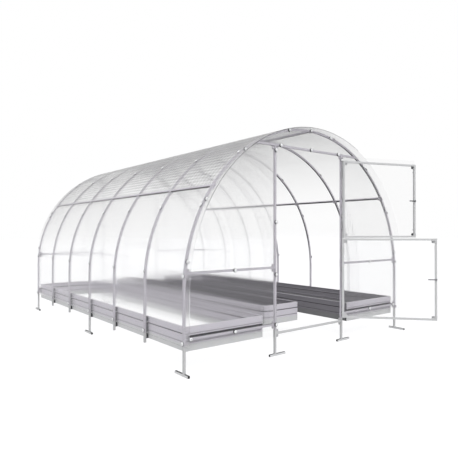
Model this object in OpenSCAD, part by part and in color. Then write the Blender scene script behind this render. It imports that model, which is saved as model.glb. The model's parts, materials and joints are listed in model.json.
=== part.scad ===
// Arched polycarbonate greenhouse: a frame of square steel tube, two bent roof sheets,
// flat gable sheets, a doorway closed by an upper and a lower leaf, and three raised beds.
// +X is right seen from the door, +Y runs to the rear gable, +Z is up, and Z = 0 is the
// underside of the feet. Places along the length are written from the front arch's plane.

/* [Frame] */
// Width between the centre lines of the side walls
width = 3000; // [2400:10:3600]
// Length between the centre lines of the two gable arches
length = 4000; // [3000:10:8000]
// Number of bays between arches
bays = 6; // [4:2:12]
// Height at which the straight legs run over into the arch
spring_h = 680; // [640:5:900]
// Side of the square tube
tube = 20; // [16:1:25]
// Wall of the square tube, seen at its open ends
tube_wall = 1.5; // [1:0.1:3]
// Depth of the hollow at an open tube end
tube_mouth = 40; // [10:1:60]
// Length of the crossbar of a foot
foot_l = 200; // [120:5:300]
// Distance by which the middle of a crossbar stands to one side of its post
foot_shift = 30; // [0:5:60]
// Height above the feet of the open ends of the short legs
short_leg_h = 150; // [60:5:190]
// Slope of the radius on which the side purlins lie
purlin_angle = 35.8; // [25:0.1:60]

/* [Gables] */
// Distance between the centre lines of the door posts
post_spacing = 980; // [800:5:1200]
// Height of the centre line of the threshold tube
threshold_h = 211; // [190:1:225]
// Height of the centre line of the lower side rails
lower_rail_h = 296; // [270:1:400]
// Height of the centre line of the middle side rails
mid_rail_h = 830; // [700:5:1100]
// Depth of the head rail's centre line below the crest of the arch's
head_drop = 193; // [160:1:240]
// Thickness of the plate of which the clamps are pressed
plate_t = 2; // [1:0.1:2]
// Reach of a clamp's arms from the crossing of the tubes' centre lines
clamp_reach = 40; // [30:1:40]
// Diameter of the round tip of a clamp's ear
ear_d = 22; // [16:1:22]
// Distance of an ear's tip along the tube that ends at the crossing
ear_along = 32; // [26:1:40]
// Distance of an ear's tip to the side of that tube's centre line
ear_aside = 26; // [22:1:26]

/* [Sheets] */
// Thickness of the twin-wall sheet
sheet_t = 4; // [3:0.5:6]
// Length by which the roof sheets stand out past the gable arches
overhang = 100; // [0:5:150]
// Height of the bottom edge of the sheets
sheet_bottom = 245; // [230:1:280]
// Gap between a gable sheet and the roof sheet around it
trim_gap = 1; // [0.5:0.5:5]

/* [Door leaves] */
// Gap between a leaf and the posts beside it
leaf_gap = 6.5; // [6:0.5:10]
// Height of the underside of the lower leaf
leaf_bottom = 255; // [235:1:300]
// Height of the middle of the gap between the leaves
leaf_split = 1099; // [900:1:1300]
// Gap between the lower and the upper leaf
split_gap = 6; // [6:0.5:10]
// Gap between the upper leaf's sheet and the head rail
head_gap = 6; // [5:0.5:20]
// Height by which the upper leaf's sheet stands above its top tube
sheet_rise = 47; // [0:1:47]
// Angle by which the upper leaf stands open
upper_open = 161; // [0:1:164]
// Angle by which the lower leaf stands open
lower_open = 131; // [90:1:164]

/* [Hinges and latches] */
// Outer diameter of a hinge knuckle
knuckle_d = 12; // [10:0.5:16]
// Diameter of a hinge pin
pin_d = 6; // [4:0.5:7]
// Radial clearance of a pin or stud in the part that turns on it
pin_play = 0.05; // [0.02:0.01:0.1]
// Height of a whole hinge
hinge_h = 75; // [50:1:100]
// Gap between neighbouring knuckles
knuckle_gap = 0.5; // [0.2:0.1:1]
// Width of a hinge flap, from the pin's centre line
flap_w = 28; // [24:1:34]
// Distance of a hinge's middle from the end of its leaf
hinge_inset = 140; // [80:5:200]
// Reach of a latch bar beyond its pivot
latch_reach = 75; // [45:1:90]
// Width of a latch bar
latch_w = 12; // [8:1:16]
// Diameter of a latch bar's round end about its pivot
latch_boss_d = 20; // [16:1:30]
// Thickness of a latch bar
latch_t = 3; // [2:0.5:5]
// Height of the collar that holds a latch bar off the stile
collar_h = 5; // [5:0.5:8]
// Diameter of a latch bar's collar and of the head over it
collar_d = 11; // [8:0.5:12]
// Diameter of the stud on which a latch bar turns
stud_d = 6; // [4:0.5:7]
// Height of the head that keeps a latch bar on its stud
stud_head_h = 2; // [1:0.5:4]
// Gap between a latch bar and the collar and head beside it
latch_play = 0.3; // [0.1:0.1:0.5]

/* [Beds] */
// Height of the bed boards
board_h = 200; // [150:5:250]
// Height of the underside of the beds
bed_base = 188; // [180:1:200]
// Width of the beds along the side walls
side_bed_w = 850; // [600:10:900]
// Width of the middle bed
mid_bed_w = 500; // [300:10:600]
// Distance from the front arch to the front of the middle bed
mid_bed_start = 410; // [100:10:1500]
// Thickness of the folded board sheet
board_t = 1.5; // [0.8:0.1:2.5]
// Width of a board's folded edges
lip = 15; // [10:1:25]
// Gap between the long boards and the end boards
board_gap = 0.5; // [0.5:0.1:2]
// Radius of the ribs rolled into a board
rib_r = 5; // [3:0.5:8]
// Height of the lower rib's middle above a board's underside
lower_rib_h = 75; // [20:1:90]
// Height of the upper rib's middle above a board's underside
upper_rib_h = 141; // [105:1:145]
// Thickness of the posts between the boards and the frame
spacer_t = 20; // [15:1:30]
// Width of the posts between the boards and the frame
spacer_w = 25; // [20:1:40]
// Distance of the middle bed's rear posts from its centre line
rear_spacer_x = 150; // [50:5:200]

/* [Hidden] */
$fn = 96;
radius = width / 2;
pitch = length / bays;
foot_reach = foot_shift + foot_l / 2;
half = tube / 2;
leg_in = radius - half;
leg_out = radius + half;
post_x = post_spacing / 2;
jamb_x = post_x - half;
side_bed_x = radius - half - spacer_t;
bed_front = half + spacer_t;
bed_rear = length - half - spacer_t;
head_rail_h = spring_h + radius - head_drop;
purlin_r = sqrt(leg_out * leg_out - half * half) - half;

// A leaf is drawn closed, about its hinge line
hinge_x = jamb_x - leaf_gap / 2;
hinge_y = -half - sheet_t - knuckle_d / 2;
leaf_half = jamb_x - leaf_gap;
leaf_w = 2 * leaf_half;
leaf_top = head_rail_h - half - head_gap - sheet_rise;
lower_top = leaf_split - split_gap / 2;
upper_bottom = leaf_split + split_gap / 2;
latch_x = -leaf_half + half;
latch_y = half + collar_h + latch_play;

// How far forward of the front arch's plane the free corner of an open leaf reaches
function reach(angle) =
    (leaf_half + hinge_x) * sin(angle) - (half - hinge_y) * cos(angle) - hinge_y;
middle_y = (length + max(overhang, foot_reach) - max(reach(upper_open), reach(lower_open))) / 2;

knuckle_h = (hinge_h - 2 * knuckle_gap) / 3;
rib_heights = [lower_rib_h, upper_rib_h];

STEEL = [0.66, 0.66, 0.68];
PLATE = [0.56, 0.56, 0.58];
SHEET = [0.90, 0.93, 0.96, 0.35];
BOARD = [0.70, 0.69, 0.72];
DARK = [0.30, 0.30, 0.31];

// ---- Placing ----

// Moves from the front arch's plane to the middle of the whole length
module in_place() translate([0, -middle_y, 0]) children();

module both_sides() for (side = [0, 1]) mirror([side, 0, 0]) children();

// A shape drawn for the front gable, turned about so that it closes the rear one
module at_rear() translate([0, length, 0]) mirror([0, 1, 0]) children();

// A flat outline of X and Z, given its thickness from y to y + t
module upright(y, t) translate([0, y + t, 0]) rotate([90, 0, 0]) linear_extrude(t) children();

// Turns a leaf, drawn closed, by its opening angle about the hinge line
module opened(angle)
    in_place() translate([hinge_x, hinge_y, 0]) rotate(angle) translate([-hinge_x, -hinge_y, 0])
        children();

// ---- Tube ----

// A length of tube along +Z, with hollow mouths where an end is open
module tube_run(l, open_start = false, open_end = false) difference() {
    translate([-half, -half, 0]) cube([tube, tube, l]);
    if (open_start) translate([0, 0, -1]) tube_hollow(tube_mouth + 1);
    if (open_end) translate([0, 0, l - tube_mouth]) tube_hollow(tube_mouth + 1);
}

module tube_hollow(l)
    translate([tube_wall - half, tube_wall - half, 0])
        cube([tube - 2 * tube_wall, tube - 2 * tube_wall, l]);

module upright_tube(x, y, z0, z1, open_start = false)
    translate([x, y, z0]) tube_run(z1 - z0, open_start);

module tube_along_y(x, z, y0, y1, open = false)
    translate([x, y0, z]) rotate([-90, 0, 0]) tube_run(y1 - y0, open, open);

module tube_along_x(z, y, x0, x1, open = false)
    translate([x0, y, z]) rotate([0, 90, 0]) tube_run(x1 - x0, open, open);

// ---- Arches, feet and purlins ----

function has_foot(i) = i == 0 || i == bays / 2 || i == bays;

// One bent tube: a half circle on two straight legs
module arch(i) color(STEEL) in_place() translate([0, i * pitch, 0]) {
    translate([0, 0, spring_h]) rotate([90, 0, 0])
        rotate_extrude(angle = 180, $fn = 180) translate([leg_in, -half]) square(tube);
    leg_end = has_foot(i) ? tube : short_leg_h;
    both_sides() upright_tube(radius, 0, leg_end, spring_h, !has_foot(i));
}

// Crossbars welded under the legs of the first, middle and last arches: the longer end
// points to the rear on the left side and to the front on the right
module arch_feet() color(STEEL) in_place()
    for (i = [0 : bays], side = [-1, 1]) if (has_foot(i)) {
        y = i * pitch - side * foot_shift;
        tube_along_y(side * radius, half, y - foot_l / 2, y + foot_l / 2, open = true);
    }

module post_feet() color(STEEL) in_place()
    for (y = [0, length], side = [-1, 1]) {
        x = side * post_x + foot_shift;
        tube_along_x(half, y, x - foot_l / 2, x + foot_l / 2, open = true);
    }

// One run of short tubes between the arches, on the radius at an angle above the spring line
module purlins(angle) color(STEEL) in_place()
    for (i = [0 : bays - 1])
        translate([0, 0, spring_h]) rotate([0, -angle, 0])
            tube_along_y(purlin_r, 0, i * pitch + half, (i + 1) * pitch - half);

// ---- Gable frames ----

// What lies inside the arch: its tubes meet this outline
module inside_arch(r, bottom) {
    translate([0, spring_h]) intersection() {
        circle(r, $fn = 180);
        translate([-r, 0]) square([2 * r, r]);
    }
    translate([-r, bottom]) square([2 * r, spring_h - bottom]);
}

// A level tube from side to side of the arch, its ends cut to the arch's curve
module coped_rail(z) intersection() {
    tube_along_x(z, 0, -radius, radius);
    upright(-half, tube) inside_arch(leg_in, 0);
}

module gable_post(side) upright_tube(side * post_x, 0, tube, head_rail_h - half);

module gable_head_rail() coped_rail(head_rail_h);

module gable_side_rails() for (z = [lower_rail_h, mid_rail_h]) difference() {
    coped_rail(z);
    translate([-post_x - half, -tube, z - tube]) cube([2 * (post_x + half), 2 * tube, 2 * tube]);
}

module gable_threshold() tube_along_x(threshold_h, 0, -jamb_x, jamb_x);

// ---- Clamps ----

// The flat outline of a gable's tubes, the right half's widened by w on each free side
module gable_tubes(w) {
    difference() {
        inside_arch(leg_out, 0);
        inside_arch(leg_in - w, 0);
    }
    translate([jamb_x - w, 0]) square([tube + 2 * w, head_rail_h]);
    intersection() {
        inside_arch(leg_in, 0);
        union() {
            for (z = [lower_rail_h, mid_rail_h])
                translate([post_x, z - half - w]) square([radius - post_x, tube + 2 * w]);
            translate([0, threshold_h - half - w]) square([post_x, tube + 2 * w]);
            translate([0, head_rail_h - half - w]) square([radius, tube + 2 * w]);
        }
    }
}

function arch_x(z) = radius * cos(asin(max(0, z - spring_h) / radius));

// Where the clamps lie: the doorway side of the posts stays free beside the leaves
module clamp_windows() {
    both = 2 * clamp_reach;
    for (z = [lower_rail_h, mid_rail_h]) {
        translate([jamb_x, z - clamp_reach]) square([half + clamp_reach, both]);
        translate([arch_x(z) - clamp_reach, z - clamp_reach]) square([both, both]);
    }
    translate([post_x - clamp_reach, threshold_h - clamp_reach]) square([clamp_reach + half, both]);
    translate([post_x - clamp_reach, head_rail_h - clamp_reach]) square([both, clamp_reach + half]);
}

// The ear on the upper side of a tube that runs along +X from a crossing at the origin
module ear() {
    translate([0, half]) square([ear_along, ear_aside + ear_d / 2 - half]);
    translate([0, half]) square([ear_along + ear_d / 2, ear_aside - half]);
    translate([ear_along, ear_aside]) circle(d = ear_d);
}

module ears() for (side = [0, 1]) mirror([0, side]) ear();

// Clamps pressed from plate: a cover on the inner face of the tubes, walls along their sides
// and, in the tubes' middle plane, an ear with its bolt in each corner
module gable_clamps() both_sides() {
    upright(half, plate_t) clamp_outline();
    upright(-plate_t, half + plate_t) difference() {
        clamp_outline();
        gable_tubes(0);
    }
    upright(-plate_t, 2 * plate_t) difference() {
        union() {
            for (z = [lower_rail_h, mid_rail_h]) {
                translate([post_x, z]) ears();
                translate([arch_x(z), z]) mirror([1, 0]) ears();
            }
            translate([post_x, threshold_h]) mirror([1, 0]) ears();
            translate([post_x, head_rail_h]) rotate(-90) ears();
        }
        gable_tubes(0);
    }
}

module clamp_outline() intersection() {
    gable_tubes(plate_t);
    clamp_windows();
}

// ---- Sheets ----

// A roof sheet bent over the arches, from the bottom edge on one side to that on the other
module roof_sheet(y0, y1) color(SHEET) in_place() difference() {
    upright(y0, y1 - y0) inside_arch(leg_out + sheet_t, sheet_bottom);
    upright(y0 - 1, y1 - y0 + 2) inside_arch(leg_out, sheet_bottom - 1);
}

// The part of a flat gable sheet between two widths and above a height
module gable_sheet(x0, x1, bottom) color(SHEET)
    upright(-half - sheet_t, sheet_t) intersection() {
        inside_arch(leg_out - trim_gap, sheet_bottom);
        translate([x0, bottom]) square([x1 - x0, 2 * radius]);
    }

// ---- Door leaves ----

// The free stile carries the stud of the latch, which is a collar, a shank and a head
module leaf_stiles(bottom, top) color(STEEL) {
    both_sides() upright_tube(leaf_half - half, 0, bottom, top);
    head_y = latch_y + latch_t + latch_play;
    translate([latch_x, 0, (bottom + top) / 2]) {
        upright(half, collar_h) circle(d = collar_d);
        upright(half, head_y - half) circle(d = stud_d);
        upright(head_y, stud_head_h) circle(d = collar_d);
    }
}

module leaf_rails(bottom, top) color(STEEL) for (z = [bottom + half, top - half])
    tube_along_x(z, 0, tube - leaf_half, leaf_half - tube);

module leaf_sheet(bottom, top) color(SHEET)
    translate([-leaf_half, -half - sheet_t, bottom]) cube([leaf_w, sheet_t, top - bottom]);

// The same clamps round the corners, with one ear each
module leaf_clamps(bottom, top) color(PLATE) both_sides() {
    translate([half - leaf_half, 0, bottom + half]) corner_clamp();
    translate([half - leaf_half, 0, top - half]) mirror([0, 0, 1]) corner_clamp();
}

// Drawn with the tubes' centre lines crossing at the origin
module corner_clamp() {
    upright(half, plate_t) corner_arms();
    upright(-plate_t, half + plate_t) difference() {
        corner_arms();
        corner_tubes();
    }
    upright(-plate_t, 2 * plate_t) difference() {
        ear();
        corner_tubes();
    }
}

module corner_arms() translate([-half, -half]) {
    square([half + clamp_reach, tube + plate_t]);
    square([tube + plate_t, half + clamp_reach]);
}

module corner_tubes() translate([-half, -half]) {
    square([tube, 2 * clamp_reach + tube]);
    square([2 * clamp_reach + tube, tube]);
}

// One of a hinge's three knuckles: the outer two are on the post, the inner one on the leaf
module knuckle(k) translate([hinge_x, hinge_y, k * (knuckle_h + knuckle_gap) - hinge_h / 2])
    cylinder(d = knuckle_d, h = knuckle_h);

// A flap on the sheet's face, joined to its knuckles by a leg as thick as the flap
module flap(knuckles) {
    clear = knuckle_d / 2 + knuckle_gap;
    back = -half - sheet_t - plate_t;
    translate([hinge_x + clear, back, -hinge_h / 2]) cube([flap_w - clear, plate_t, hinge_h]);
    for (k = knuckles) {
        translate([hinge_x, back, k * (knuckle_h + knuckle_gap) - hinge_h / 2])
            cube([flap_w, plate_t, knuckle_h]);
        knuckle(k);
    }
}

module hinge_heights(bottom, top)
    for (z = [bottom + hinge_inset, top - hinge_inset]) translate([0, 0, z]) children();

module leaf_hinges(bottom, top) color(DARK) hinge_heights(bottom, top) difference() {
    translate([2 * hinge_x, 0, 0]) mirror([1, 0, 0]) flap([1]);
    translate([hinge_x, hinge_y, -hinge_h / 2]) cylinder(d = pin_d + 2 * pin_play, h = hinge_h);
}

module post_hinge() {
    flap([0, 2]);
    translate([hinge_x, hinge_y, -hinge_h / 2]) cylinder(d = pin_d, h = hinge_h);
}

// A bar with round ends that turns on the free stile's stud, to reach behind the post
module latch(bottom, top) color(DARK)
    translate([latch_x, 0, (bottom + top) / 2]) upright(latch_y, latch_t) difference() {
        union() {
            circle(d = latch_boss_d);
            translate([0, -latch_w / 2]) square([latch_reach, latch_w]);
            translate([latch_reach, 0]) circle(d = latch_w);
        }
        circle(d = stud_d + 2 * pin_play);
    }

// ---- Beds ----

// A board's section: +X is its outer face, the edges are folded and two ribs are rolled inwards
module board_section() difference() {
    union() {
        translate([-board_t, 0]) square([board_t, board_h]);
        for (z = [0, board_h - board_t]) translate([-lip, z]) square([lip, board_t]);
        for (z = rib_heights) translate([0, z]) circle(rib_r + board_t, $fn = 32);
    }
    for (z = rib_heights) translate([0, z]) circle(rib_r, $fn = 32);
    square([2 * rib_r + board_t, board_h]);
}

// A board with its outer face on x, from y0 to y1
module board_along_y(x, y0, y1)
    translate([x, y1, bed_base]) rotate([90, 0, 0]) linear_extrude(y1 - y0) board_section();

// The four boards of a bed: the ends cover the long boards, which run between their lips
module bed(x0, x1, y0, y1) color(BOARD) in_place() {
    middle = (x0 + x1) / 2;
    reach = (x1 - x0) / 2;
    translate([middle, 0, 0]) {
        both_sides() board_along_y(reach, y0 + lip + board_gap, y1 - lip - board_gap);
        translate([0, y1, 0]) rotate(90) board_along_y(0, -reach, reach);
        translate([0, y0, 0]) rotate(-90) board_along_y(0, -reach, reach);
    }
}

// Posts inside the corners of a bed, between the folded edges and against the ribs
module corner_posts(x0, x1, y0, y1) color(DARK) in_place()
    for (x = [x0, x1 - lip], y = [y0 + rib_r + board_t, y1 - lip])
        translate([x, y, bed_base + board_t])
            cube([lip, lip - rib_r - board_t, board_h - 2 * board_t]);

// Posts that hold the side beds on the arches, and the middle bed on the rear threshold
module spacer_posts() color(DARK) in_place() {
    for (i = [1 : bays - 1]) both_sides()
        translate([side_bed_x, i * pitch - spacer_w / 2, bed_base])
            cube([spacer_t, spacer_w, board_h]);
    both_sides() translate([rear_spacer_x - spacer_w / 2, bed_rear, bed_base])
        cube([spacer_w, spacer_t, board_h]);
}

// ---- Nodes ----

arch(0);  // arch_1
arch(1);  // arch_2
arch(2);  // arch_3
arch(3);  // arch_4
arch(4);  // arch_5
arch(5);  // arch_6
arch(6);  // arch_7
arch_feet();
post_feet();
purlins(180 - purlin_angle);  // left_purlins
purlins(purlin_angle);  // right_purlins
purlins(90);  // ridge_purlins
color(STEEL) in_place() gable_post(-1);  // front_left_post
color(STEEL) in_place() gable_post(1);  // front_right_post
color(STEEL) in_place() gable_head_rail();  // front_head_rail
color(STEEL) in_place() gable_side_rails();  // front_side_rails
color(STEEL) in_place() gable_threshold();  // front_threshold
color(PLATE) in_place() gable_clamps();  // front_clamps
color(STEEL) in_place() at_rear() { gable_post(-1); gable_post(1); }  // rear_posts
color(STEEL) in_place() at_rear() { gable_head_rail(); gable_side_rails(); gable_threshold(); }  // rear_rails
color(PLATE) in_place() at_rear() gable_clamps();  // rear_clamps
roof_sheet(-overhang, length / 2);  // front_roof_sheet
roof_sheet(length / 2, length + overhang);  // rear_roof_sheet
in_place() gable_sheet(-2 * radius, -jamb_x, sheet_bottom);  // front_left_sheet
in_place() gable_sheet(jamb_x, 2 * radius, sheet_bottom);  // front_right_sheet
in_place() gable_sheet(-jamb_x, jamb_x, head_rail_h - half / 2);  // front_top_sheet
in_place() at_rear() {  // rear_gable_sheets
    both_sides() gable_sheet(post_x + trim_gap, 2 * radius, sheet_bottom);
    gable_sheet(-post_x, post_x, sheet_bottom);
}
opened(upper_open) leaf_stiles(upper_bottom, leaf_top);  // upper_leaf_stiles
opened(upper_open) leaf_rails(upper_bottom, leaf_top);  // upper_leaf_rails
opened(upper_open) leaf_clamps(upper_bottom, leaf_top);  // upper_leaf_clamps
opened(upper_open) leaf_sheet(upper_bottom, leaf_top + sheet_rise);  // upper_leaf_sheet
opened(upper_open) leaf_hinges(upper_bottom, leaf_top);  // upper_leaf_hinges
opened(upper_open) latch(upper_bottom, leaf_top);  // upper_latch
opened(lower_open) leaf_stiles(leaf_bottom, lower_top);  // lower_leaf_stiles
opened(lower_open) leaf_rails(leaf_bottom, lower_top);  // lower_leaf_rails
opened(lower_open) leaf_clamps(leaf_bottom, lower_top);  // lower_leaf_clamps
opened(lower_open) leaf_sheet(leaf_bottom, lower_top);  // lower_leaf_sheet
opened(lower_open) leaf_hinges(leaf_bottom, lower_top);  // lower_leaf_hinges
opened(lower_open) latch(leaf_bottom, lower_top);  // lower_latch
color(DARK) in_place() {  // post_hinges
    hinge_heights(upper_bottom, leaf_top) post_hinge();
    hinge_heights(leaf_bottom, lower_top) post_hinge();
}
bed(-side_bed_x, side_bed_w - side_bed_x, bed_front, bed_rear);  // left_bed_boards
bed(-mid_bed_w / 2, mid_bed_w / 2, mid_bed_start, bed_rear);  // middle_bed_boards
bed(side_bed_x - side_bed_w, side_bed_x, bed_front, bed_rear);  // right_bed_boards
union() {  // bed_corner_posts
    corner_posts(-side_bed_x, side_bed_w - side_bed_x, bed_front, bed_rear);
    corner_posts(-mid_bed_w / 2, mid_bed_w / 2, mid_bed_start, bed_rear);
    corner_posts(side_bed_x - side_bed_w, side_bed_x, bed_front, bed_rear);
}
spacer_posts();  // bed_spacer_posts
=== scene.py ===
import json
import math

import bpy
from mathutils import Matrix, Vector

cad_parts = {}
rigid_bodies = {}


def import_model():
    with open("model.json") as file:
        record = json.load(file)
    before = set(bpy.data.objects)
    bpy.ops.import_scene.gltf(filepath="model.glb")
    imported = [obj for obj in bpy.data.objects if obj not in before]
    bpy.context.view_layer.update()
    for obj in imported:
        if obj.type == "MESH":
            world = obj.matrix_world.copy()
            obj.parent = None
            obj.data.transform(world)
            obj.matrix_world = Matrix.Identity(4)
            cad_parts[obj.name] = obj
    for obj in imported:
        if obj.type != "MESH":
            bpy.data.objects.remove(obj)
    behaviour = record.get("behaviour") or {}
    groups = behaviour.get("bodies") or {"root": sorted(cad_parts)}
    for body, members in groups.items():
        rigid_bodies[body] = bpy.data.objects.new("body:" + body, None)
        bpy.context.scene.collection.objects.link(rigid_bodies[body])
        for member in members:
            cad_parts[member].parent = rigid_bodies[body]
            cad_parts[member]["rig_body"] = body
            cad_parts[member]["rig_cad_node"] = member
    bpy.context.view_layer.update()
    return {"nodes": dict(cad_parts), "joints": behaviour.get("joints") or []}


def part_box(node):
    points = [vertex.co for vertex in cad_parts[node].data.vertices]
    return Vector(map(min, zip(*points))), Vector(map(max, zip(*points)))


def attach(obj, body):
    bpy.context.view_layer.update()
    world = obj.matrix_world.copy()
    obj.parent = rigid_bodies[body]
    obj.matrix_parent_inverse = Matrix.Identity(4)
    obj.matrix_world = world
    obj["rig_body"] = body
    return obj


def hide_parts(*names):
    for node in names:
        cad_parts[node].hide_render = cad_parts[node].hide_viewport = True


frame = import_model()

bpy.ops.object.select_all(action="DESELECT")

# ---- Camera ----
# It stands in front of the left corner of the door gable, a little over a metre up, and looks
# along the greenhouse and to the right.
camera_tilt, camera_turn = math.radians(90.30), math.radians(-38.18)
bpy.ops.object.camera_add(location=(-3.5127, -4.8315, 1.1705),
                          rotation=(camera_tilt, 0.0, camera_turn))
camera = bpy.context.object
camera.data.lens = 36.19
camera.data.clip_start = 0.05
camera.data.clip_end = 200.0
bpy.context.scene.camera = camera
bpy.context.scene.view_settings.view_transform = "Standard"

# ---- Room ----
# A white room round the greenhouse: the eye and the reflections meet white. The greenhouse is lit
# by a sky that is brighter at the front left, a soft key lamp there and a weak one from the right.
bpy.context.scene.cycles.transparent_max_bounces = 32
white = (1.0, 1.0, 1.0, 1.0)
bright_side = (-0.45, -0.60, 0.66)
darkest_sky, brightest_sky = 0.12, 1.9


def feed(tree, socket, value):
    """Links a value that comes from another node, and sets any other."""
    if isinstance(value, bpy.types.NodeSocket):
        tree.links.new(value, socket)
    else:
        socket.default_value = value


def added(tree, kind, *in_order, **by_name):
    """A new node of a kind, with its sockets fed in order or by name."""
    node = tree.nodes.new("ShaderNode" + kind)
    for socket, value in zip(node.inputs, in_order):
        feed(tree, socket, value)
    for name, value in by_name.items():
        feed(tree, node.inputs[name], value)
    return node


def combined(tree, operation, *values):
    """What a Math node makes of one or two values."""
    node = added(tree, "Math", *values)
    node.operation = operation
    return node.outputs[0]


def vectors(tree, operation, *values):
    """What a Vector Math node makes of one or two vectors."""
    node = added(tree, "VectorMath", *values)
    node.operation = operation
    return node.outputs["Value" if operation == "DOT_PRODUCT" else "Vector"]


def ramp(tree, value, low, high, start=0.0, stop=1.0):
    """Runs from start to stop while the value runs from low to high, and stays there beyond."""
    limits = {"From Min": low, "From Max": high, "To Min": start, "To Max": stop}
    return added(tree, "MapRange", Value=value, **limits).outputs["Result"]


def layered(tree, share, under, over):
    """One shader over another, by a share."""
    return added(tree, "MixShader", share, under.outputs[0], over.outputs[0])


def seen_or_reflected(tree):
    """1 where the eye looks, straight, in a mirror or through the sheets, and 0 for the light."""
    path = added(tree, "LightPath").outputs
    looks = combined(tree, "MAXIMUM", path["Is Camera Ray"], path["Is Glossy Ray"])
    looks = combined(tree, "MAXIMUM", looks, path["Is Transmission Ray"])
    return combined(tree, "MULTIPLY", looks,
                    combined(tree, "LESS_THAN", path["Diffuse Depth"], 0.5))


world = bpy.data.worlds.new("white_room")
bpy.context.scene.world = world
world.use_nodes = True
tree = world.node_tree
tree.nodes.clear()
toward = added(tree, "TexCoord").outputs["Generated"]
strength = ramp(tree, vectors(tree, "DOT_PRODUCT", toward, bright_side),
                -0.1, 1.0, darkest_sky, brightest_sky)
sky = added(tree, "Background", Color=(0.97, 0.98, 1.0, 1.0), Strength=strength)
seen = added(tree, "Background", Color=white, Strength=1.0)
room = layered(tree, seen_or_reflected(tree), sky, seen)
added(tree, "OutputWorld", Surface=room.outputs[0])

bpy.ops.mesh.primitive_plane_add(size=120.0, location=(0.0, 0.0, 0.0))
floor = bpy.context.object
floor.name = "floor"
paving = bpy.data.materials.new("pale_floor")
paving.use_nodes = True
tree = paving.node_tree
tree.nodes.clear()
bounce = added(tree, "BsdfDiffuse", Color=(0.12, 0.12, 0.125, 1.0))
shown = added(tree, "BsdfDiffuse", Color=(0.20, 0.20, 0.205, 1.0))
glow = added(tree, "Emission", Color=white, Strength=0.86)
lit = added(tree, "AddShader", shown.outputs[0], glow.outputs[0])
ground = layered(tree, seen_or_reflected(tree), bounce, lit)
added(tree, "OutputMaterial", Surface=ground.outputs[0])
floor.data.materials.append(paving)

lamp_softness = math.radians(25.0)
for name, power, tilt, turn in (("key_lamp", 0.8, 50.0, -40.0), ("fill_lamp", 0.2, 60.0, 40.0)):
    bpy.ops.object.light_add(type="SUN", location=(0.0, 0.0, 6.0),
                             rotation=(math.radians(tilt), 0.0, math.radians(turn)))
    lamp = bpy.context.object
    lamp.name = name
    lamp.data.energy = power
    lamp.data.angle = lamp_softness

# ---- Frame of square tube ----
# Cold-formed steel tube, dull from the zinc bath: bent arches, straight purlins, rails and posts,
# held together by clamps and plates. Painted shade darkens the faces that look into the greenhouse,
# the undersides of the purlins and the tops and bottoms of the rails, and the steel behind the
# clear sheets carries a painted violet tint.
spring_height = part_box("arch_1")[1].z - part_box("arch_1")[1].x
sheet_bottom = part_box("front_left_sheet")[0].z
arches = sorted(n for n in frame["nodes"] if n.startswith("arch_") and n != "arch_feet")
zinc = (0.56, 0.56, 0.56)


def coordinate(tree, axis):
    """Where a point of a piece lies along an axis."""
    place = added(tree, "TexCoord").outputs["Object"]
    return added(tree, "SeparateXYZ", place).outputs[axis]


def blended(tree, share, first, second, blend="MIX"):
    """One colour changed towards another, or multiplied with it, by a share."""
    node = tree.nodes.new("ShaderNodeMix")
    node.data_type = "RGBA"
    node.blend_type = blend
    for name, value in (("Factor", share), ("A", first), ("B", second)):
        feed(tree, node.inputs[name], value)
    return node.outputs["Result"]


def painted_shade_faces(tree, shade, kind, strength, between):
    """Paints shade on the faces that look inwards, up and down (level) or down (under).

    Each limit in between is an axis and the two places where the painted shade begins and is full.
    """
    if kind == "inner":
        above = combined(tree, "SUBTRACT", coordinate(tree, "Z"), spring_height)
        spoke = added(tree, "CombineXYZ", X=coordinate(tree, "X"),
                      Z=combined(tree, "MAXIMUM", above, 0.0))
        direction = vectors(tree, "NORMALIZE", spoke.outputs[0])
    else:
        direction = (0.0, 0.0, 1.0)
    normal = added(tree, "TexCoord").outputs["Normal"]
    facing = vectors(tree, "DOT_PRODUCT", normal, direction)
    if kind == "level":
        amount = ramp(tree, combined(tree, "ABSOLUTE", facing), 0.45, 0.75)
    else:
        amount = ramp(tree, facing, -0.45, -0.75)
    for axis, begins, full in between:
        amount = combined(tree, "MULTIPLY", amount,
                          ramp(tree, coordinate(tree, axis), begins, full))
    return blended(tree, amount, shade, (strength, strength, strength * 1.02, 1.0), "MULTIPLY")


def violet_cast(tree, shade):
    """Paints the faint violet that light through the clear sheets gives to the steel behind them.
    """
    covered = combined(tree, "GREATER_THAN", coordinate(tree, "Z"), sheet_bottom)
    return blended(tree, covered, shade, (1.0, 0.955, 1.03, 1.0), "MULTIPLY")


def steel_finish(name, colour, metallic, roughness, grain=60.0, uneven=0.07,
                 inner=1.0, level=1.0, under=1.0, between=(), covered=False):
    """Metal with a fine mottle in its tone, gloss and relief, with painted shade on some faces and,
    where covered, a painted violet tint.
    """
    finish = bpy.data.materials.new(name)
    finish.use_nodes = True
    tree = finish.node_tree
    place = added(tree, "TexCoord").outputs["Object"]
    mottle = added(tree, "TexNoise", Vector=place, Scale=grain, Detail=3.0).outputs["Fac"]
    dark, pale = (tuple(min(1.0, c * (1.0 + change)) for c in colour) + (1.0,)
                  for change in (-uneven, uneven))
    shade = blended(tree, mottle, dark, pale)
    for kind, strength in (("inner", inner), ("level", level), ("under", under)):
        if strength < 1.0:
            shade = painted_shade_faces(tree, shade, kind, strength, between)
    if covered:
        shade = violet_cast(tree, shade)
    metal = tree.nodes["Principled BSDF"]
    metal.inputs["Metallic"].default_value = metallic
    feed(tree, metal.inputs["Base Color"], shade)
    feed(tree, metal.inputs["Roughness"],
         ramp(tree, mottle, 0.0, 1.0, roughness - 0.08, roughness + 0.08))
    relief = added(tree, "Bump", Strength=0.15, Distance=0.0004, Height=mottle)
    feed(tree, metal.inputs["Normal"], relief.outputs["Normal"])
    return finish


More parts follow.
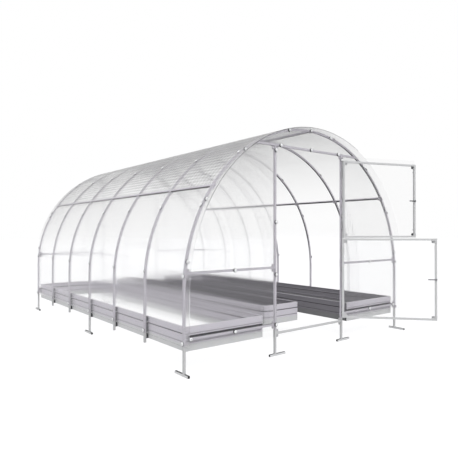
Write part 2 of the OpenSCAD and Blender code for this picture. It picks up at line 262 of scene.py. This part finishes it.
def tube_finish(name, covered=True, **painted_shade):
    return steel_finish(name, zinc, 0.25, 0.5, covered=covered, **painted_shade)


def dress(material, *nodes):
    for node in nodes:
        for slot in frame["nodes"][node].material_slots:
            slot.material = material


# Where the painted shade on the tubes begins and where it is full.
first_arch_dark, other_arches_dark = ("Z", 1.35, 1.52), ("Z", 0.80, 1.10)
dark_below_crest = ("Z", 2.10, 2.02)
purlins_dark = ("Y", 2.0, -0.6)
dress(tube_finish("first_bent_tube", inner=0.14, between=(first_arch_dark, dark_below_crest)),
      arches[0])
dress(tube_finish("bent_tube", inner=0.14, between=(other_arches_dark, dark_below_crest)),
      *arches[1:])
dress(tube_finish("purlin_tube", inner=0.14, under=0.12, between=(purlins_dark,)),
      "left_purlins", "right_purlins", "ridge_purlins")
dress(tube_finish("rail_tube", level=0.12), "front_side_rails", "rear_rails")
dress(tube_finish("post_tube", inner=0.45), "rear_posts")
dress(tube_finish("covered_tube"), "front_left_post", "front_right_post", "front_head_rail")
dress(tube_finish("zinc_coated_tube", covered=False), "front_threshold",
      "upper_leaf_stiles", "upper_leaf_rails", "lower_leaf_stiles", "lower_leaf_rails")

# ---- Feet and their welds ----
# Crossbars of the same tube with open ends, painted near black inside as shade, with painted shade
# on top and below. A fillet weld runs round each leg and post where it stands on its crossbar.
tube_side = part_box("front_threshold")[1].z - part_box("front_threshold")[0].z
leg_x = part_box("arch_1")[1].x - tube_side / 2.0
post_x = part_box("front_right_post")[1].x - tube_side / 2.0
weld_size = 0.004


def line_of(node):
    """The middle of a node along the greenhouse."""
    low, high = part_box(node)
    return (low.y + high.y) / 2.0


def away_from(tree, value, middle):
    return combined(tree, "ABSOLUTE", combined(tree, "SUBTRACT", value, middle))


def crossbar_finish(name, axis, middle, half):
    """Tube with open ends painted near black as shade: all that lies within its outer faces, seen
    along the bar.
    """
    within = 0.00995
    finish = steel_finish(name, (0.66, 0.66, 0.66), 0.25, 0.5, level=0.05)
    tree = finish.node_tree
    colour = tree.nodes["Principled BSDF"].inputs["Base Color"]
    upwards = away_from(tree, coordinate(tree, "Z"), tube_side / 2.0)
    sideways = away_from(tree, away_from(tree, coordinate(tree, axis), middle), half)
    mouth = combined(tree, "MULTIPLY", combined(tree, "LESS_THAN", upwards, within),
                     combined(tree, "LESS_THAN", sideways, within))
    shade = colour.links[0].from_socket
    feed(tree, colour, blended(tree, mouth, shade, (0.004, 0.004, 0.004, 1.0)))
    return finish


def begin_edit(piece):
    """Opens a piece for editing, with all its faces selected."""
    bpy.ops.object.select_all(action="DESELECT")
    bpy.context.view_layer.objects.active = piece
    piece.select_set(True)
    bpy.ops.object.mode_set(mode="EDIT")
    bpy.ops.mesh.select_mode(type="FACE")
    bpy.ops.mesh.select_all(action="SELECT")


def end_edit(piece):
    bpy.ops.mesh.select_all(action="SELECT")
    bpy.ops.mesh.normals_make_consistent(inside=False)
    bpy.ops.object.mode_set(mode="OBJECT")
    bpy.ops.object.shade_smooth_by_angle(angle=math.radians(35.0))
    piece.select_set(False)


def draw_up(height):
    """Extrudes the selected faces."""
    bpy.ops.mesh.extrude_region_move(TRANSFORM_OT_translate={"value": (0.0, 0.0, height)})


def weld_bead(side, size):
    """A square collar whose upper edges slope in to the tube."""
    bpy.ops.mesh.primitive_plane_add(size=side + 2.0 * size)
    bead = bpy.context.object
    begin_edit(bead)
    draw_up(size * 0.3)
    bpy.ops.mesh.inset(thickness=size * 0.5, depth=size * 0.3)
    bpy.ops.mesh.inset(thickness=size * 0.5, depth=size * 0.5)
    bpy.ops.mesh.select_all(action="SELECT")
    bpy.ops.mesh.bevel(offset=size * 0.2, segments=2)
    end_edit(bead)
    return bead


def together(*pieces):
    """Several meshes made one."""
    bpy.ops.object.select_all(action="DESELECT")
    for piece in pieces:
        piece.select_set(True)
    bpy.context.view_layer.objects.active = pieces[0]
    bpy.ops.object.join()
    piece = bpy.context.object
    piece.select_set(False)
    return piece


def finished(model, name, body, places, material):
    """Copies a model to its places, makes the copies one piece and hangs it on its body."""
    copies = []
    for place in places:
        copy = model.copy()
        copy.data = model.data.copy()
        bpy.context.collection.objects.link(copy)
        copy.data.transform(place)
        copies.append(copy)
    bpy.data.objects.remove(model)
    piece = together(*copies)
    piece.name = name
    piece.data.materials.clear()
    piece.data.materials.append(material)
    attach(piece, body)


front_line, rear_line = line_of(arches[0]), line_of(arches[-1])
dress(crossbar_finish("arch_crossbar", "X", 0.0, leg_x), "arch_feet")
dress(crossbar_finish("post_crossbar", "Y", (front_line + rear_line) / 2.0,
                      (rear_line - front_line) / 2.0), "post_feet")
footed = (arches[0], arches[len(arches) // 2], arches[-1])
standing = [(side * leg_x, line_of(arch)) for arch in footed for side in (-1.0, 1.0)]
standing += [(side * post_x, line) for line in (front_line, rear_line) for side in (-1.0, 1.0)]
finished(weld_bead(tube_side, weld_size), "foot_welds", "greenhouse",
         [Matrix.Translation((x, y, tube_side)) for x, y in standing],
         steel_finish("weld_bead", (0.42, 0.42, 0.42), 0.3, 0.5, 220.0))

# ---- Clamps and their bolts ----
# Pressed steel clamps close round every crossing of the gable tubes. A galvanised bolt goes through
# each ear, with its head on the sheet's side and its nut inside.
clamp_finish = steel_finish("pressed_clamp", (0.53, 0.53, 0.53), 0.25, 0.45, covered=True)
dress(clamp_finish, "front_clamps", "rear_clamps")
bolt_finish = steel_finish("bolt_zinc", (0.50, 0.49, 0.51), 0.6, 0.35, 300.0)
bolt_across, ear_thickness = 0.010, 0.004
ear_along, ear_aside = 0.032, 0.026
spring_radius = leg_x
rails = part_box("front_side_rails")
lower_rail = rails[0].z + tube_side / 2.0
middle_rail = rails[1].z - tube_side / 2.0
head_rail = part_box("front_head_rail")[1].z - tube_side / 2.0
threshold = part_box("front_threshold")[1].z - tube_side / 2.0


def stepped(radius, points, height, *insets):
    """A round or many-sided head: a plate drawn up to a height, then inset and raised in steps."""
    bpy.ops.mesh.primitive_circle_add(vertices=points, radius=radius, fill_type="NGON")
    head = bpy.context.object
    begin_edit(head)
    draw_up(height)
    for inwards, upwards in insets:
        bpy.ops.mesh.inset(thickness=inwards, depth=upwards)
    end_edit(head)
    return head


def hexagon(across, height):
    """A bolt's head or a nut with its corners turned off."""
    return stepped(across / math.sqrt(3.0), 6, height * 0.8, (across * 0.08, height * 0.2))


def raised(piece, height):
    piece.data.transform(Matrix.Translation((0.0, 0.0, height)))
    return piece


def hung(piece, depth):
    """Turned over and lowered."""
    piece.data.transform(Matrix.Translation((0.0, 0.0, -depth)) @ Matrix.Rotation(math.pi, 4, "X"))
    return piece


def bolt_and_nut(washer_radius=0.0085):
    """Head and washer above the middle of an ear, nut and thread's end below."""
    face = ear_thickness / 2.0
    washer = raised(stepped(washer_radius, 16, 0.0008, (0.0006, 0.0004)), face)
    head = raised(hexagon(bolt_across, 0.0038), face + 0.0012)
    nut = hung(hexagon(bolt_across, 0.0042), face)
    thread = hung(stepped(0.003, 12, 0.0015, (0.0007, 0.0007)), face + 0.0040)
    return together(washer, head, nut, thread)


def seat(point, normal, turn=0.0):
    """Where a piece modelled on the floor goes, to stand on a face with this normal."""
    tilt = Vector((0.0, 0.0, 1.0)).rotation_difference(Vector(normal)).to_matrix().to_4x4()
    return Matrix.Translation(point) @ tilt @ Matrix.Rotation(turn, 4, "Z")


def arch_x(height):
    """Half the width between the arch's centre lines at a height."""
    rise = max(0.0, height - spring_height)
    return spring_radius * math.cos(math.asin(rise / spring_radius))


ears = []
for height in (lower_rail, middle_rail):
    for side in (-1.0, 1.0):
        ears.append((post_x + ear_along, height + side * ear_aside))
        ears.append((arch_x(height) - ear_along, height + side * ear_aside))
for side in (-1.0, 1.0):
    ears.append((post_x - ear_along, threshold + side * ear_aside))
    ears.append((post_x + side * ear_aside, head_rail - ear_along))
gables = (("front", front_line, -1.0), ("rear", rear_line, 1.0))
for gable, line, outwards in gables:
    places = [seat((side * x, line, z), (0.0, outwards, 0.0))
              for x, z in ears for side in (-1.0, 1.0)]
    finished(bolt_and_nut(), gable + "_clamp_bolts", "greenhouse", places, bolt_finish)

# ---- Purlin plates ----
# Where a purlin meets an arch, a square plate with round corners is bolted on from inside, across
# both. It is pressed from the same steel as the clamps.
purlin_slope = math.radians(35.8)
inner_radius = leg_x - tube_side / 2.0
plate_along, plate_across, plate_thickness, plate_corner = 0.046, 0.062, 0.0024, 0.010
hole_along, hole_across = 0.014, 0.020


def cornered_plate(along, across, thickness, corner):
    """A flat plate with round corners, its upper rim eased."""
    bpy.ops.mesh.primitive_plane_add(size=1.0)
    piece = bpy.context.object
    piece.data.transform(Matrix.Diagonal((along, across, 1.0, 1.0)))
    begin_edit(piece)
    bpy.ops.mesh.select_mode(type="VERT")
    bpy.ops.mesh.bevel(offset=corner, segments=4, affect="VERTICES")
    bpy.ops.mesh.select_mode(type="FACE")
    bpy.ops.mesh.select_all(action="SELECT")
    draw_up(thickness * 0.7)
    bpy.ops.mesh.inset(thickness=thickness * 0.3, depth=thickness * 0.3)
    end_edit(piece)
    return piece


for purlin, angle in (("left_purlin", math.pi - purlin_slope), ("right_purlin", purlin_slope),
                      ("ridge_purlin", math.pi / 2.0)):
    spoke = Vector((math.cos(angle), 0.0, math.sin(angle)))
    round_arch = Vector((-spoke.z, 0.0, spoke.x))
    places, studs = [], []
    for arch in arches:
        middle = Vector((0.0, line_of(arch), spring_height)) + spoke * inner_radius
        place = seat(middle, -spoke)
        places.append(place)
        for across in (-hole_across, hole_across):
            for along in (-hole_along, hole_along):
                hole = place @ Vector((0.0, 0.0, plate_thickness))
                studs.append(seat(hole + Vector((0.0, across, 0.0)) + round_arch * along, -spoke))
    finished(cornered_plate(plate_along, plate_across, plate_thickness, plate_corner),
             purlin + "_plates", "greenhouse", places, clamp_finish)
    finished(hexagon(bolt_across, 0.0045), purlin + "_bolts", "greenhouse", studs, bolt_finish)

# ---- Door leaves ----
# Two leaves of the same tube hang on the right post and stand open. One bolt goes through the ear
# of each corner clamp, two screws through each flap of the hinges, and the latch turns on a stud.
dress(steel_finish("dark_latch", (0.10, 0.10, 0.105), 0.3, 0.5), "upper_latch")
dress(steel_finish("grey_latch", (0.26, 0.255, 0.27), 0.3, 0.5), "lower_latch")
dress(steel_finish("leaf_clamp", (0.53, 0.53, 0.53), 0.25, 0.45),
      "upper_leaf_clamps", "lower_leaf_clamps")
hinge_finish = steel_finish("hinge_zinc", (0.40, 0.395, 0.41), 0.4, 0.45)
dress(hinge_finish, "upper_leaf_hinges", "lower_leaf_hinges", "post_hinges")
# Painted shade: the upper leaf's corner bolts are near black and the lower leaf's a mid grey.
dark_bolt_finish = steel_finish("dark_bolt", (0.05, 0.05, 0.055), 0.3, 0.4, 300.0)
grey_corner_bolt_finish = steel_finish("grey_corner_bolt", (0.33, 0.33, 0.34), 0.4, 0.4, 300.0)
corner_bolts = {"upper_leaf": (0.014, dark_bolt_finish), "lower_leaf": (0.0085, grey_corner_bolt_finish)}
hinges = {joint["child"]: joint for joint in frame["joints"]
          if joint["name"].endswith("leaf_hinge")}
leaf_gap = 0.0065
stile_x = post_x - tube_side - leaf_gap
hinge_inset, half_knuckles = 0.140, 0.0375
flap_face, flap_hole_x, flap_hole_z = 0.016, 0.018, 0.024
stud_end = 0.0206
small_screw = (0.0045, 0.0022)


def pan_head(radius, height):
    """A round screw head with a slot across its crown."""
    slot = radius * 0.12
    head = stepped(radius, 14, height * 0.5, (radius * 0.25, height * 0.3),
                   (radius * 0.3, height * 0.2))
    begin_edit(head)
    for side in (slot, -slot):
        bpy.ops.mesh.select_all(action="SELECT")
        bpy.ops.mesh.bisect(plane_co=(0.0, side, 0.0), plane_no=(0.0, 1.0, 0.0))
    bpy.ops.mesh.select_all(action="DESELECT")
    bpy.ops.object.mode_set(mode="OBJECT")
    for face in head.data.polygons:
        face.select = face.center.z > height * 0.85 and abs(face.center.y) < slot
    bpy.ops.object.mode_set(mode="EDIT")
    draw_up(-height * 0.35)
    end_edit(head)
    return head


def opened(joint):
    """How far a leaf stands open, as an angle."""
    return math.radians(-joint["range_deg"][0])


def swing_of(joint):
    """Turns a leaf about its hinges, from closed to the place where it stands open."""
    line = Matrix.Translation((joint["pos_m"][0], joint["pos_m"][1], 0.0))
    return line @ Matrix.Rotation(opened(joint), 4, "Z") @ line.inverted()


post_screws, pin_heads = [], []
for leaf, joint in hinges.items():
    swing = swing_of(joint)
    hinge_x, hinge_y = joint["pos_m"][:2]
    low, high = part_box(leaf + "_stiles")
    corners, hinge_corners, flap_screws = [], [], []
    for z, inwards in ((low.z, 1.0), (high.z, -1.0)):
        corner = z + inwards * (tube_side / 2.0 + ear_aside)
        for side, row in ((-1.0, corners), (1.0, hinge_corners)):
            place = (side * (stile_x - ear_along), front_line, corner)
            row.append(swing @ seat(place, (0.0, -side, 0.0)))
        hinge = z + inwards * hinge_inset
        pin_heads.append(Matrix.Translation((hinge_x, hinge_y, hinge + half_knuckles)))
        for hole in (hinge - flap_hole_z, hinge + flap_hole_z):
            on_leaf = (hinge_x - flap_hole_x, front_line - flap_face, hole)
            on_post = (hinge_x + flap_hole_x, front_line - flap_face, hole)
            flap_screws.append(swing @ seat(on_leaf, (0.0, -1.0, 0.0), 0.6))
            post_screws.append(seat(on_post, (0.0, -1.0, 0.0), 2.1))
    washer_radius, corner_finish = corner_bolts[leaf]
    finished(bolt_and_nut(washer_radius), leaf + "_corner_bolts", leaf, corners, corner_finish)
    finished(bolt_and_nut(), leaf + "_hinge_corner_bolts", leaf, hinge_corners, bolt_finish)
    finished(pan_head(*small_screw), leaf + "_flap_screws", leaf, flap_screws, bolt_finish)
    stud = swing @ seat((-stile_x, front_line + stud_end, (low.z + high.z) / 2.0), (0.0, 1.0, 0.0))
    finished(hexagon(0.008, 0.0028), leaf + "_stud_nut", leaf, [stud], dark_bolt_finish)
finished(pan_head(*small_screw), "post_flap_screws", "greenhouse", post_screws, bolt_finish)
finished(stepped(0.0048, 16, 0.0008, (0.0015, 0.0008)), "hinge_pin_heads", "greenhouse",
         pin_heads, hinge_finish)

# ---- Twin-wall sheets ----
# Clear ribbed polycarbonate, 4 mm thick, cut to the openings and bent over the arches. The ribs
# bend what is seen through them. The sheet is greyer at a slant and has a painted grey near the
# crest, and a painted moiré of the ribs lies on the upper part of the roof's outer face.
rib_pitch, sheet_index = 0.006, 1.15
sheet_thickness, sheet_standoff = 0.004, 0.0004
crest_height, overhang_start = 2.19, (front_line - 0.03, front_line + 0.03)
painted_moire_start, painted_moire_end = (1.45, 1.65), (1.82, 2.02)


def waves(tree, direction, pitch):
    """A wave that runs along a direction, with one crest in each pitch."""
    place = added(tree, "TexCoord").outputs["Object"]
    reach = vectors(tree, "DOT_PRODUCT", place, direction)
    return combined(tree, "COSINE", combined(tree, "MULTIPLY", reach, 2.0 * math.pi / pitch))


def ribbed_normal(tree, across, depth, slant, entering):
    """The face's own normal, leant to and fro across the ribs, and less so at a slant."""
    wave = waves(tree, across, rib_pitch)
    lean = combined(tree, "MULTIPLY", wave, combined(tree, "MULTIPLY", wave, wave))
    lean = combined(tree, "MULTIPLY", lean, ramp(tree, slant, 0.15, 0.9, depth, 0.0))
    tilt = vectors(tree, "MULTIPLY", across, combined(tree, "MULTIPLY", lean, entering))
    turned = added(tree, "VectorTransform", tilt)
    turned.vector_type = "VECTOR"
    turned.convert_from, turned.convert_to = "OBJECT", "WORLD"
    normal = added(tree, "NewGeometry").outputs["Normal"]
    return vectors(tree, "NORMALIZE", vectors(tree, "ADD", normal, turned.outputs["Vector"]))


def sheet_tint(tree, slant, tint, high, slanted, both, painted_moire):
    """The share of light a sheet lets through: less at a slant, less high up under a painted grey,
    and less with both.
    """
    power, crest_start, slant_start, slant_end = ((1.0, 1.00, 0.45, 0.85) if both
                                                  else (1.8, 1.40, 0.57, 0.75))
    height = coordinate(tree, "Z")
    indoors = ramp(tree, coordinate(tree, "Y"), *overhang_start, 0.6, 1.0)
    # A painted grey that darkens the sheet towards the crest, indoors of the front overhang.
    crest = combined(tree, "POWER", ramp(tree, height, crest_start, crest_height), power)
    crest = combined(tree, "MULTIPLY", indoors, crest)
    graze = combined(tree, "MULTIPLY", indoors, ramp(tree, slant, slant_start, slant_end))
    kept = combined(tree, "MULTIPLY", ramp(tree, crest, 0.0, 1.0, tint, tint * (1.0 - high)),
                    ramp(tree, graze, 0.0, 1.0, 1.0, 1.0 - slanted))
    kept = combined(tree, "MULTIPLY", kept, ramp(tree, combined(tree, "MULTIPLY", crest, graze),
                                                 0.0, 1.0, 1.0, 1.0 - both))
    # A painted moiré: light and dark lines where the ribs of the two layers cross, on the upper
    # roof and stronger at a slant.
    if painted_moire:
        crossed = combined(tree, "MULTIPLY", waves(tree, (0.0, 9.0, 15.0), 1.0),
                           waves(tree, (0.0, 9.0, -15.0), 1.0))
        strength = combined(tree, "MULTIPLY", ramp(tree, height, *painted_moire_start, 0.0, painted_moire),
                            ramp(tree, height, *painted_moire_end, 1.0, 0.25))
        strength = combined(tree, "MULTIPLY", strength, ramp(tree, slant, 0.35, 0.65, 0.10, 1.0))
        kept = combined(tree, "ADD", kept, combined(tree, "MULTIPLY", crossed, strength))
        kept = combined(tree, "MINIMUM", 1.0, kept)
    return kept


def sheet_finish(name, across, ribs, tint, high=0.0, slanted=0.0, both=0.0, painted_moire=0.0,
                 blur=0.05):
    """Clear sheet, tinted once where light enters it, with a thin gloss on its outer side."""
    finish = bpy.data.materials.new(name)
    finish.use_nodes = True
    tree = finish.node_tree
    tree.nodes.clear()
    slant = added(tree, "LayerWeight", Blend=0.5).outputs["Facing"]
    backfacing = added(tree, "NewGeometry").outputs["Backfacing"]
    entering = ramp(tree, backfacing, 0.0, 1.0, 1.0, 0.0)
    kept = sheet_tint(tree, slant, tint, high, slanted, both, painted_moire)
    once = combined(tree, "ADD", combined(tree, "MULTIPLY", kept, entering),
                    combined(tree, "SUBTRACT", 1.0, entering))
    clear = added(tree, "BsdfTransparent", Color=once)
    bent = added(tree, "BsdfRefraction", Color=once, IOR=sheet_index, Roughness=blur,
                 Normal=ribbed_normal(tree, across, ribs, slant, entering))
    path = added(tree, "LightPath").outputs
    light = combined(tree, "MAXIMUM", path["Is Shadow Ray"], path["Is Diffuse Ray"])
    mist = added(tree, "BsdfTranslucent", Color=(0.95, 0.95, 0.96, 1.0))
    milky = layered(tree, 0.015, layered(tree, light, bent, clear), mist)
    gloss = added(tree, "BsdfGlossy", Roughness=0.12)
    mirror = ramp(tree, combined(tree, "POWER", slant, 5.0), 0.0, 1.0, 0.03, 0.75)
    face = layered(tree, combined(tree, "MULTIPLY", mirror, entering), milky, gloss)
    added(tree, "OutputMaterial", Surface=face.outputs[0])
    return finish


def edge_finish(name):
    """The cut ends of the sheets, where the cells show as a faint comb."""
    finish = bpy.data.materials.new(name)
    finish.use_nodes = True
    tree = finish.node_tree
    tree.nodes.clear()
    place = added(tree, "TexCoord").outputs["Object"]
    comb = added(tree, "TexWave", Vector=place, Scale=50.0)
    comb.bands_direction = "DIAGONAL"
    tone = blended(tree, comb.outputs["Fac"], (0.90, 0.90, 0.91, 1.0), (0.98, 0.98, 0.98, 1.0))
    clear = added(tree, "BsdfTransparent", Color=tone)
    added(tree, "OutputMaterial", Surface=clear.outputs[0])
    return finish


def lay_sheet(node, body, finish, inner_finish=None, flat=None):
    """A sheet of the solid's outline that lies a hair off the tubes it is screwed to.

    A bent sheet has an inner finish, and a flat one has the normal of its faces.
    """
    sheet = frame["nodes"][node].copy()
    sheet.data = frame["nodes"][node].data.copy()
    sheet.name = "clear_" + node
    sheet.parent = None
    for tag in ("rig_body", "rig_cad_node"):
        if tag in sheet:
            del sheet[tag]
    bpy.context.collection.objects.link(sheet)
    bpy.context.view_layer.objects.active = sheet
    sheet.select_set(True)
    bpy.ops.object.mode_set(mode="EDIT")
    bpy.ops.mesh.select_all(action="SELECT")
    bpy.ops.mesh.remove_doubles(threshold=0.00005)
    bpy.ops.transform.shrink_fatten(value=-sheet_standoff, use_even_offset=True)
    bpy.ops.object.mode_set(mode="OBJECT")
    bpy.ops.object.shade_smooth_by_angle(angle=math.radians(20.0))
    sheet.select_set(False)
    sheet.data.materials.clear()
    for material in (finish, inner_finish or finish, cut_finish):
        sheet.data.materials.append(material)
    for face in sheet.data.polygons:
        spoke = Vector((face.center.x, 0.0, max(0.0, face.center.z - spring_height)))
        cut = abs(face.normal.y) > 0.9 if inner_finish else abs(face.normal.dot(flat)) < 0.5
        face.material_index = 2 if cut else 1 if face.normal.dot(spoke) < 0.0 else 0
    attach(sheet, body)
    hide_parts(node)


across_gable, along_roof = (1.0, 0.0, 0.0), (0.0, 1.0, 0.0)
cut_finish = edge_finish("cut_sheet_end")
outer_finish = sheet_finish("roof_sheet", along_roof, 0.50, 1.0, both=0.36, painted_moire=0.16, blur=0.10)
inner_finish = sheet_finish("roof_sheet_inside", along_roof, 0.50, 1.0, high=0.30, slanted=0.11,
                            blur=0.10)
gable_finish = sheet_finish("gable_sheet", across_gable, 0.40, 0.98, slanted=0.2)
top_finish = sheet_finish("top_sheet", across_gable, 0.03, 0.98, slanted=0.2, blur=0.01)
for node in ("front_roof_sheet", "rear_roof_sheet"):
    lay_sheet(node, "greenhouse", outer_finish, inner_finish)
for node, finish in (("front_left_sheet", gable_finish), ("front_right_sheet", gable_finish),
                     ("front_top_sheet", top_finish), ("rear_gable_sheets", gable_finish)):
    lay_sheet(node, "greenhouse", finish, flat=Vector(along_roof))
for leaf, joint in hinges.items():
    across_leaf = (math.cos(opened(joint)), math.sin(opened(joint)), 0.0)
    leaf_finish = sheet_finish(leaf + "_sheet", across_leaf, 0.07, 0.985, slanted=0.2)
    lay_sheet(leaf + "_sheet", leaf, leaf_finish,
              flat=Vector((-across_leaf[1], across_leaf[0], 0.0)))

# ---- Sheet screws ----
# Every sheet is held by self-drilling screws with a hexagon head, a white cap and a black rubber
# seal, which is made near black and tall so that it is also painted shade: the dark side of the
# cap.
# They are flatter on the roof and the right side, and most of all on the right post, where the
# leaves fold back, and at the crest.
# The seal's near black is the rubber's own and also painted shade for the cap's dark side.
seal_and_shade_finish = steel_finish("rubber_seal_and_shade", (0.012, 0.012, 0.013), 0.0, 0.7, 200.0)
cap_finish = steel_finish("white_cap", (0.93, 0.93, 0.93), 0.0, 0.4, 90.0)
sheet_face = tube_side / 2.0 + sheet_thickness
low_screws = 0.265
roof_angles, crest_angle, gable_angles = (4.8, 28.0, 52.0), 76.0, (9.4, 30.5, 54.6, 78.2)
head_rail_screws = (-0.425, 0.0, 0.425)
side_rail_screw, corner_screw = 0.985, 1.450
left_post_screws, right_post_screws = (1.937, 1.259, 0.765), (1.937, 1.335, 0.765)
stile_screw_inset, leaf_rail_screw, rail_screw_inset = 0.085, 0.16, 0.010


def sheet_screws(name, body, places, height, radius=0.0175, seal_share=0.66):
    """Seal, cap and head, one on the other, all within the height."""
    seal = stepped(radius, 16, height * seal_share, (radius * 0.05, height * 0.02))
    rim = height * (0.84 - seal_share - 0.10)
    cap = raised(stepped(radius * 0.88, 16, rim, (radius * 0.12, height * 0.08)),
                 height * (seal_share + 0.02))
    head = raised(hexagon(radius * 0.46, height * 0.18), height * 0.82)
    finished(seal, name + "_seals", body, places, seal_and_shade_finish)
    finished(cap, name + "_caps", body, places, cap_finish)
    finished(head, name + "_heads", body, places, bolt_finish)


roof_places, crest_places = [], []
for arch in arches:
    for side in (-1.0, 1.0):
        foot = (side * (leg_x + sheet_face), line_of(arch), low_screws)
        roof_places.append(seat(foot, (side, 0.0, 0.0)))
        for angle in roof_angles + (crest_angle,):
            spoke = Vector((side * math.cos(math.radians(angle)), 0.0,
                            math.sin(math.radians(angle))))
            middle = Vector((0.0, line_of(arch), spring_height))
            row = crest_places if angle == crest_angle else roof_places
            row.append(seat(middle + spoke * (leg_x + sheet_face), spoke))
sheet_screws("roof_screw", "greenhouse", roof_places, 0.008, seal_share=0.30)
sheet_screws("crest_screw", "greenhouse", crest_places, 0.004, seal_share=0.30)
for gable, line, outwards in gables:
    left_spots = [(0.0, spring_height + spring_radius)] + [(x, head_rail) for x in head_rail_screws]
    right_spots = []
    for side, row in ((-1.0, left_spots), (1.0, right_spots)):
        row += [(side * side_rail_screw, middle_rail), (side * side_rail_screw, lower_rail),
                (side * corner_screw, lower_rail)]
        for angle in gable_angles:
            row.append((side * spring_radius * math.cos(math.radians(angle)),
                        spring_height + spring_radius * math.sin(math.radians(angle))))
    left_spots += [(-post_x, z) for z in left_post_screws + (lower_rail,)]
    post_spots = [(post_x, z) for z in right_post_screws + (lower_rail,)]
    for row, part, height, seal_share in ((left_spots, "", 0.016, 0.66),
                                          (right_spots, "_on_right_side", 0.008, 0.40),
                                          (post_spots, "_on_right_post", 0.006, 0.66)):
        places = [seat((x, line + outwards * sheet_face, z), (0.0, outwards, 0.0)) for x, z in row]
        sheet_screws(gable + "_screw" + part, "greenhouse", places, height, seal_share=seal_share)
for leaf, joint in hinges.items():
    low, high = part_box(leaf + "_stiles")
    spots = [(stile_x, low.z + stile_screw_inset), (stile_x, (low.z + high.z) / 2.0),
             (stile_x, high.z - stile_screw_inset), (leaf_rail_screw, low.z + rail_screw_inset),
             (leaf_rail_screw, high.z - rail_screw_inset)]
    places = [swing_of(joint) @ seat((side * x, front_line - sheet_face, z), (0.0, -1.0, 0.0))
              for side in (-1.0, 1.0) for x, z in spots]
    sheet_screws(leaf + "_screw", leaf, places, 0.008, 0.0085)

# ---- Beds ----
# Low beds of rolled galvanised boards with two ribs each, screwed at the corners to posts painted
# near black as shade. Painted shade darkens the grooves of the ribs, a band along the front boards
# at the height of the lower rail's top, and the sides that look into the greenhouse.
board_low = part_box("left_bed_boards")[0]
lower_rib, upper_rib, rib_half = board_low.z + 0.075, board_low.z + 0.141, 0.0045
rail_band, rail_band_half = lower_rail + 0.012, 0.008
front_boards_end = board_low.y + 0.012
spacer_inset, spacer_half, spacer_screws = 0.020, 0.0125, (0.243, 0.340)
corner_inset, corner_screws_up = 0.0075, (0.030, 0.108, 0.170)
beds = ("left_bed_boards", "middle_bed_boards", "right_bed_boards")


def board_finish(name, *bands):
    """Zinc sheet with bands of painted shade: height, half width, tone on the front boards and on
    the rest.
    """
    finish = steel_finish(name, (0.62, 0.62, 0.62), 0.2, 0.5, 25.0, uneven=0.03, inner=0.30,
                          covered=True)
    tree = finish.node_tree
    colour = tree.nodes["Principled BSDF"].inputs["Base Color"]
    shade = colour.links[0].from_socket
    front = combined(tree, "LESS_THAN", coordinate(tree, "Y"), front_boards_end)
    for height, half, front_tone, side_tone in bands:
        away = away_from(tree, coordinate(tree, "Z"), height)
        band = ramp(tree, away, half + 0.001, half - 0.001)
        tone = ramp(tree, front, 0.0, 1.0, side_tone, front_tone)
        shade = blended(tree, band, shade, tone, "MULTIPLY")
    feed(tree, colour, shade)
    return finish


# Painted shade: the rib grooves, darkest on the sides, and a band where the lower rail shades the
# front boards.
dress(board_finish("rolled_board", (lower_rib, rib_half, 0.95, 0.55),
                   (upper_rib, rib_half, 0.65, 0.13),
                   (rail_band, rail_band_half, 0.06, 1.0)), *beds)
# The bed posts are painted near black, as the shade they stand in.
dress(steel_finish("bed_post", (0.045, 0.045, 0.05), 0.2, 0.55),
      "bed_corner_posts", "bed_spacer_posts")
places = [seat((side * (leg_x - spacer_inset), line_of(arch) - spacer_half, z), (0.0, -1.0, 0.0))
          for arch in arches[1:-1] for side in (-1.0, 1.0) for z in spacer_screws]
finished(pan_head(0.0060, 0.0028), "spacer_post_screws", "greenhouse", places, bolt_finish)
places = []
for bed in beds:
    low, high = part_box(bed)
    for y, outwards in ((low.y, -1.0), (high.y, 1.0)):
        for x in (low.x + corner_inset, high.x - corner_inset):
            places += [seat((x, y, low.z + z), (0.0, outwards, 0.0)) for z in corner_screws_up]
finished(pan_head(*small_screw), "board_corner_screws", "greenhouse", places, bolt_finish)
